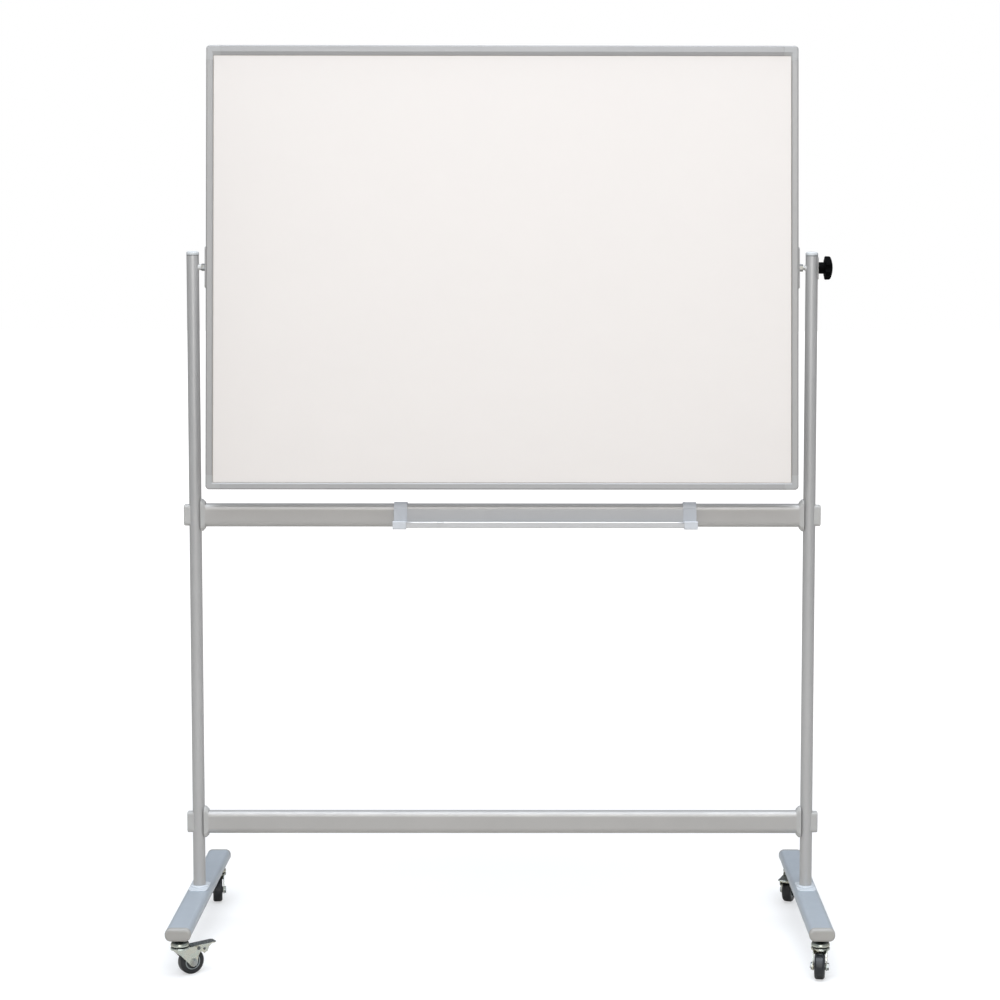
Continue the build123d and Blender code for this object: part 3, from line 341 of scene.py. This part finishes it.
dress(powder_coat("tube_satin_grey", (0.452, 0.450, 0.446)), "left_upright", "right_upright")
dress(powder_coat("bar_satin_grey", (0.435, 0.426, 0.413)), "upper_crossbar", "lower_crossbar")
# blue-tinted copy of the satin grey: painted sheen of the cool overhead light on the feet's tops
dress(
    powder_coat("foot_satin_grey_sky_tinted", (0.445, 0.495, 0.545), rough=0.34, peel=0.04, coat=0.0, rub=0.0),
    "left_foot", "right_foot",
)
dress(powder_coat("tray_satin_grey", (0.535, 0.537, 0.540), rough=0.34), "pen_tray")
dress(
    extrusion("rail_lengthwise_x", (0.345, 0.342, 0.342), along=0), "top_rail", "bottom_rail",
)
dress(
    extrusion("rail_lengthwise_z", (0.345, 0.339, 0.333), along=2),
    "left_rail", "right_rail", "left_pivot_plate", "right_pivot_plate", "knob_saddle_washer",
)
dress(
    moulded("moulded_grey", (0.44, 0.437, 0.425)), "upper_left_bracket", "upper_right_bracket",
    "lower_left_bracket", "lower_right_bracket", "bracket_covers",
)
dress(moulded("moulded_end_cap", (0.372, 0.362, 0.342)), "foot_end_caps")
# grey clip plastic made paler and bluer: painted light that lifts the straps out of the board's
# shadow
dress(
    moulded("moulded_clip_lifted", (0.56, 0.58, 0.61), rough=0.40), "left_tray_clip", "right_tray_clip",
)
dress(
    moulded("moulded_collar", (0.60, 0.64, 0.68), rough=0.34),
    "left_foot_collar", "right_foot_collar",
)
dress(moulded("moulded_cap", (0.54, 0.56, 0.57), rough=0.38), "upright_caps")
dress(moulded("moulded_corner", (0.365, 0.363, 0.36), rough=0.42), "frame_corners")
dress(moulded("moulded_black", (0.0015, 0.0015, 0.0018), rough=0.55, spec=0.03), "lock_knob")
dress(moulded("nylon", (0.55, 0.55, 0.54), rough=0.4), "pivot_bushings")
dress(
    enamel("writing_enamel", (0.638, 0.602, 0.575)), "front_writing_sheet", "back_writing_sheet",
)
dress(fibre("core_fibreboard", (0.36, 0.27, 0.18)), "board_core")
dress(rubber("swivel_seal", (0.010, 0.011, 0.009), rough=0.6), "swivel_seals")
dress(
    zinc("bolt_zinc", (0.34, 0.345, 0.345), rough=0.34), "foot_bolts", "bracket_bolts",
    "left_pivot_bolt", "right_pivot_stud", "pivot_nuts", "pivot_plate_screws", "caster_stem_nuts",
)
# caster stems with painted shade darkening their tops under the foot
dress(zinc("stem_zinc", (0.58, 0.59, 0.52), shade_heights=(0.0645, 0.0668)), "caster_stems")

PALE_ZINC = (0.62, 0.63, 0.565)
PIN = zinc("pin_zinc", (0.15, 0.155, 0.155), rough=0.40)
CASTER_LOOKS = {
    "fork": zinc("zinc_plate", PALE_ZINC),
    "axle": zinc("axle_zinc", (0.40, 0.41, 0.40), rough=0.34),
    # black rubber with a faint blue tint: painted sky reflection on the tyre tops
    "tyre": rubber("tyre_rubber", (0.007, 0.009, 0.012), rough=0.34, coat=0.12),
    "hub": moulded("hub_dark_grey", (0.065, 0.075, 0.08), rough=0.35),
}
BRAKE_LOOKS = {
    # pedal tops painted dark slate, a painted reflection
    "brake_pedal": zinc("pedal_zinc", PALE_ZINC, top_shade_colour=(0.15, 0.17, 0.18)),
    "pedal_pin": PIN,
}
for casters, looks in ((CASTERS, CASTER_LOOKS), (BRAKED_CASTERS, BRAKE_LOOKS)):
    for caster in casters:
        for part_name, look in looks.items():
            dress(look, f"{caster}_{part_name}")

# ------------------------------------------------------------------ mesh helpers


def mesh_object(name, bm, mat, smooth=True):
    mesh = bpy.data.meshes.new(name)
    bmesh.ops.recalc_face_normals(bm, faces=bm.faces)
    bm.to_mesh(mesh)
    bm.free()
    mesh.materials.append(mat)
    if smooth:
        for face in mesh.polygons:
            face.use_smooth = True
    obj = bpy.data.objects.new(name, mesh)
    scene.collection.objects.link(obj)
    return obj


def lathe(name, profile, origin, axis, mat, steps=96):
    """Ring turned about an axis from a closed (radius, distance along the axis) profile."""
    bm = bmesh.new()
    z = Vector(axis).normalized()
    x = z.orthogonal().normalized()
    y = z.cross(x)
    origin = Vector(origin)
    rings = []
    for i in range(steps):
        angle = 2 * math.pi * i / steps
        spoke = x * math.cos(angle) + y * math.sin(angle)
        rings.append([bm.verts.new(origin + spoke * r + z * h) for r, h in profile])
    count = len(profile)
    for i in range(steps):
        ring, following = rings[i], rings[(i + 1) % steps]
        for j in range(count):
            k = (j + 1) % count
            bm.faces.new((ring[j], ring[k], following[k], following[j]))
    bmesh.ops.remove_doubles(bm, verts=bm.verts, dist=1e-7)
    return mesh_object(name, bm, mat)


def joint(name):
    """Place and unit axis of a joint."""
    found = next(j for j in frame["joints"] if j["name"] == name)
    return Vector(found["pos_m"]), Vector(found["axis"]).normalized()


def mirror(profile, sign):
    return [(r, h * sign) for r, h in profile]


def round_corners(profile, reach, steps=3):
    """Round each corner of a closed profile with a curve starting `reach` from it."""
    rounded = []
    count = len(profile)
    for i in range(count):
        before, corner, after = (Vector(profile[(i + k) % count]) for k in (-1, 0, 1))
        back = before - corner
        ahead = after - corner
        cut = min(reach, back.length * 0.45, ahead.length * 0.45)
        start = corner + back.normalized() * cut
        end = corner + ahead.normalized() * cut
        for k in range(steps + 1):
            u = k / steps
            rounded.append(tuple((1 - u) ** 2 * start + 2 * u * (1 - u) * corner + u * u * end))
    return rounded


# ------------------------------------------------------------------ added pieces

# (radius, distance from the wheel's mid-plane)
HUB_RING_PROFILE = [
    (0.0136, 0.0080), (0.0154, 0.0080), (0.0154, 0.0090),
    (0.0148, 0.0095), (0.0141, 0.0095), (0.0136, 0.0090),
]
# (radius, distance from the middle of the brake bar)
RIVET_PROFILE = [
    (0.00002, 0.0112), (0.0027, 0.0112), (0.0027, 0.0118),
    (0.0023, 0.0122), (0.0013, 0.0125), (0.00002, 0.0126),
]
BRAKE_BAR_HEIGHT = 0.048
BRAKE_BAR_REACH = 0.047  # from the swivel axis, towards the wheel's side

SEAM_INNER, SEAM_OUTER = 0.01190, 0.01246  # radii
SEAM_BOTTOM, SEAM_TOP = 0.00010, 0.00110  # above the upright's top

BEAD_RADIUS = 0.0017
BEAD_SIDES = 20
BEAD_SEGMENTS = 40
BEAD_INSET = 0.0013  # centre line, behind the tray's front
LIP_HEIGHT = 0.0115
BEAD_DROP = 0.0006  # centre line, below the lip's top
CLIP_GAP = 0.0004


def hub_rings():
    """Pale rings on both faces of each hub."""
    mat = moulded("hub_pale_ring", (0.36, 0.40, 0.41), rough=0.3)
    for caster in CASTERS:
        centre, axle = joint(f"{caster}_roll")
        for side, sign in SIDES:
            profile = round_corners(mirror(HUB_RING_PROFILE, sign), reach=0.0002)
            ring = lathe(f"{caster}_hub_ring_{side}", profile, centre, axle, mat)
            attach(ring, f"{caster}_wheel")


def bar_rivets():
    """Domed rivet heads on the ends of each brake bar."""
    for caster in BRAKED_CASTERS:
        swivel, _ = joint(f"{caster}_swivel")
        wheel, axle = joint(f"{caster}_roll")
        trail = wheel - swivel
        outward = Vector((trail.x, trail.y, 0)).normalized()
        centre = Vector((swivel.x, swivel.y, BRAKE_BAR_HEIGHT)) + outward * BRAKE_BAR_REACH
        for side, sign in SIDES:
            profile = mirror(RIVET_PROFILE, sign)
            head = lathe(f"{caster}_bar_rivet_{side}", profile, centre, axle, PIN, steps=40)
            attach(head, f"{caster}_pedal")


def cap_seams():
    """Dark rings in the grooves under the uprights' caps, painted shadow in the seams."""
    mat = moulded("seam_shadow", (0.03, 0.03, 0.03), rough=0.7, spec=0.1)
    for tag in ("left", "right"):
        lo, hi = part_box(f"{tag}_upright")
        bottom, top = hi[2] + SEAM_BOTTOM, hi[2] + SEAM_TOP
        profile = round_corners([
            (SEAM_INNER, bottom), (SEAM_OUTER, bottom), (SEAM_OUTER, top), (SEAM_INNER, top),
        ], reach=0.0001)
        centre = ((lo[0] + hi[0]) / 2, (lo[1] + hi[1]) / 2, 0)
        seam = lathe(f"{tag}_cap_seam", profile, centre, (0, 0, 1), mat)
        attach(seam, "stand")


def tray_bead():
    """Rolled bead along the tray's front lip, between the clips."""
    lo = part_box("pen_tray")[0]
    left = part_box("left_tray_clip")[1][0] + CLIP_GAP
    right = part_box("right_tray_clip")[0][0] - CLIP_GAP
    y = lo[1] + BEAD_INSET
    z = lo[2] + LIP_HEIGHT - BEAD_DROP
    angles = [2 * math.pi * k / BEAD_SIDES for k in range(BEAD_SIDES)]
    section = [(BEAD_RADIUS * math.cos(a), BEAD_RADIUS * math.sin(a)) for a in angles]
    bm = bmesh.new()
    rings = []
    for i in range(BEAD_SEGMENTS + 1):
        x = left + (right - left) * i / BEAD_SEGMENTS
        rings.append([bm.verts.new((x, y + dy, z + dz)) for dy, dz in section])
    for ring, following in zip(rings, rings[1:]):
        for k in range(BEAD_SIDES):
            n = (k + 1) % BEAD_SIDES
            bm.faces.new((ring[k], ring[n], following[n], following[k]))
    bm.faces.new(rings[0])
    bm.faces.new(list(reversed(rings[-1])))
    # paler than the tray's own paint: painted highlight so the rolled lip reads as a bright line
    mat = powder_coat("bead_satin_grey_highlit", (0.66, 0.665, 0.67), rough=0.30, peel=0.04, rub=0.0)
    bead = mesh_object("tray_lip_bead", bm, mat)
    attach(bead, "tray")


# ------------------------------------------------------------------ floor, light, camera


def floor_material():
    m = Material("pale_floor")
    grain = m.noise(scale=420, detail=4, rough=0.6)
    to_camera = m.new("ShaderNodeLightPath").outputs["Is Camera Ray"]
    # the parts see a darker, warmer floor than the camera does, so their undersides read
    pale = m.shade((0.90, 0.90, 0.90), wobble=0.006, scale=1.5)
    m.set(
        color=m.mix(to_camera, (0.62, 0.59, 0.55), pale), rough=m.fit(grain, to=(0.7, 0.8)),
        spec=0.2, normal=m.bump(grain, strength=0.02, distance=0.0002),
    )
    # the floor fades to plain white away from the stand, so no horizon shows
    place = m.split(m.coord)
    squares = [m.math("MULTIPLY", place[axis], place[axis]) for axis in "XY"]
    distance = m.math("POWER", m.math("ADD", *squares), 0.5)
    fade = m.fit(distance, over=(0.9, 2.4), shape="SMOOTHSTEP")
    glow = m.new("ShaderNodeEmission")
    m.feed(glow.inputs["Color"], WHITE)
    m.feed(glow.inputs["Strength"], 1.2)
    lift = m.fit(fade, to=(0.40, 1.0), over=UNIT_SPAN)
    share = m.math("MULTIPLY", lift, to_camera)
    m.link(m.mix_shaders(share, m.bsdf.outputs[0], glow.outputs[0]), m.out.inputs[0])
    return m.mat


def floor():
    bm = bmesh.new()
    bmesh.ops.create_grid(bm, x_segments=2, y_segments=2, size=30)
    mesh_object("floor", bm, floor_material(), smooth=False)


# light from around the stand: position from straight down (0) to straight up (1), RGB
SKY = [
    (0.0, (0.40, 0.39, 0.37)),
    (0.50, (0.34, 0.33, 0.32)),
    (0.60, (0.44, 0.43, 0.42)),
    (0.78, (0.74, 0.77, 0.82)),
    (1.0, (1.06, 1.16, 1.32)),
]


def studio_world():
    """A graded sky lights the parts; the camera sees plain white."""
    world = bpy.data.worlds.new("studio")
    scene.world = world
    world.use_nodes = True
    w = Tree(world.node_tree)
    out = w.new("ShaderNodeOutputWorld")
    height = w.split(w.new("ShaderNodeTexCoord").outputs["Generated"])["Z"]
    sky = w.ramp(w.fit(height, over=(-1.0, 1.0)), SKY)
    backgrounds = []
    for colour, strength in ((sky, 0.70), (WHITE, 1.0)):
        background = w.new("ShaderNodeBackground")
        w.feed(background.inputs["Color"], colour)
        w.feed(background.inputs["Strength"], strength)
        backgrounds.append(background.outputs[0])
    to_camera = w.new("ShaderNodeLightPath").outputs["Is Camera Ray"]
    w.link(w.mix_shaders(to_camera, *backgrounds), out.inputs[0])


def softbox(name, where, target, size, power, colour):
    """Rectangular area light aimed at a target."""
    light = bpy.data.lights.new(name, "AREA")
    light.shape = "RECTANGLE"
    light.size, light.size_y = size
    light.energy = power
    light.color = colour
    obj = bpy.data.objects.new(name, light)
    scene.collection.objects.link(obj)
    obj.location = where
    aim = Vector(target) - Vector(where)
    obj.rotation_euler = aim.to_track_quat("-Z", "Y").to_euler()
    return obj


def lights():
    softbox("key", where=(0.2, -3.8, 3.9), target=(0, 0, 1.2), size=(4.0, 2.0),
            power=66, colour=(0.98, 0.985, 1.0))
    softbox("fill", where=(0.1, -6.0, 2.2), target=(0, 0, 1.3), size=(3.2, 2.2),
            power=62, colour=(1.0, 0.985, 0.965))
    softbox("top", where=(0.0, -1.0, 4.6), target=(0, -0.2, 0), size=(4.4, 2.6),
            power=140, colour=(0.90, 0.95, 1.0))
    back = softbox("back", where=(0.2, 5.0, 2.0), target=(0, 0, 1.3), size=(3.6, 2.2),
                   power=50, colour=(1.0, 0.99, 0.975))
    back.visible_glossy = False  # it fills the back without streaking the feet


def camera(where, pitch, yaw, roll):
    """Camera looking along +Y, tipped down by pitch; angles in radians."""
    data = bpy.data.cameras.new("camera")
    data.sensor_width = 36.0
    data.lens = 84.446
    data.shift_x = -0.05003
    data.shift_y = -0.07719
    data.clip_end = 100
    obj = bpy.data.objects.new("camera", data)
    scene.collection.objects.link(obj)
    forward = Vector((
        -math.sin(yaw) * math.cos(pitch), math.cos(yaw) * math.cos(pitch), -math.sin(pitch),
    ))
    right = Vector((math.cos(yaw), math.sin(yaw), 0))
    up = right.cross(forward)
    rolled_right = right * math.cos(roll) + up * math.sin(roll)
    rolled_up = up * math.cos(roll) - right * math.sin(roll)
    pose = Matrix((rolled_right, rolled_up, -forward)).transposed().to_4x4()
    pose.translation = Vector(where)
    obj.matrix_world = pose
    scene.camera = obj


hub_rings()
bar_rivets()
cap_seams()
tray_bead()
floor()
studio_world()
lights()
scene.view_settings.view_transform = "Standard"
scene.view_settings.look = "None"
scene.view_settings.exposure = 0.0
scene.view_settings.gamma = 1.0
camera(where=(0.08058, -4.76678, 1.45167), pitch=0.08087, yaw=-0.00344, roll=0.00119)
